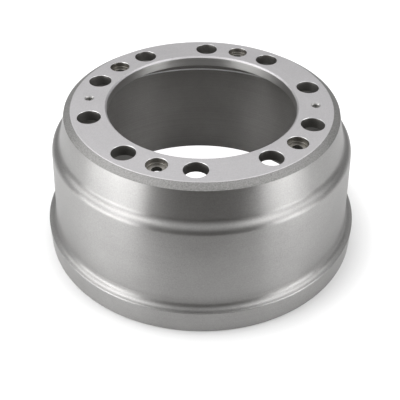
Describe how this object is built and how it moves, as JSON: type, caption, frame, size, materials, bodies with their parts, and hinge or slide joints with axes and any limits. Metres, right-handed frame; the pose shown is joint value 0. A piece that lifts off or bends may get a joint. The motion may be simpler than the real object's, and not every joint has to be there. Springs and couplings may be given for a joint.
{
  "type": "brake drum",
  "caption": "Heavy vehicle brake drum: a deep stepped iron drum with a flanged open mouth, a wide centre bore and a ring of stud holes in its flat mounting face.",
  "frame": {"origin": "on the drum's axis, in the plane of the open mouth's rim", "axes": "+Z along the axis, from the open mouth to the mounting face; +X through the first stud hole"},
  "size_m": [0.4925, 0.4926, 0.226],
  "materials": {
    "turned_iron": "turned all over, satin; rough cast bevel round the mounting face"
  },
  "bodies": {
    "root": {"brake_drum": "turned_iron"}
  },
  "joints": []
}
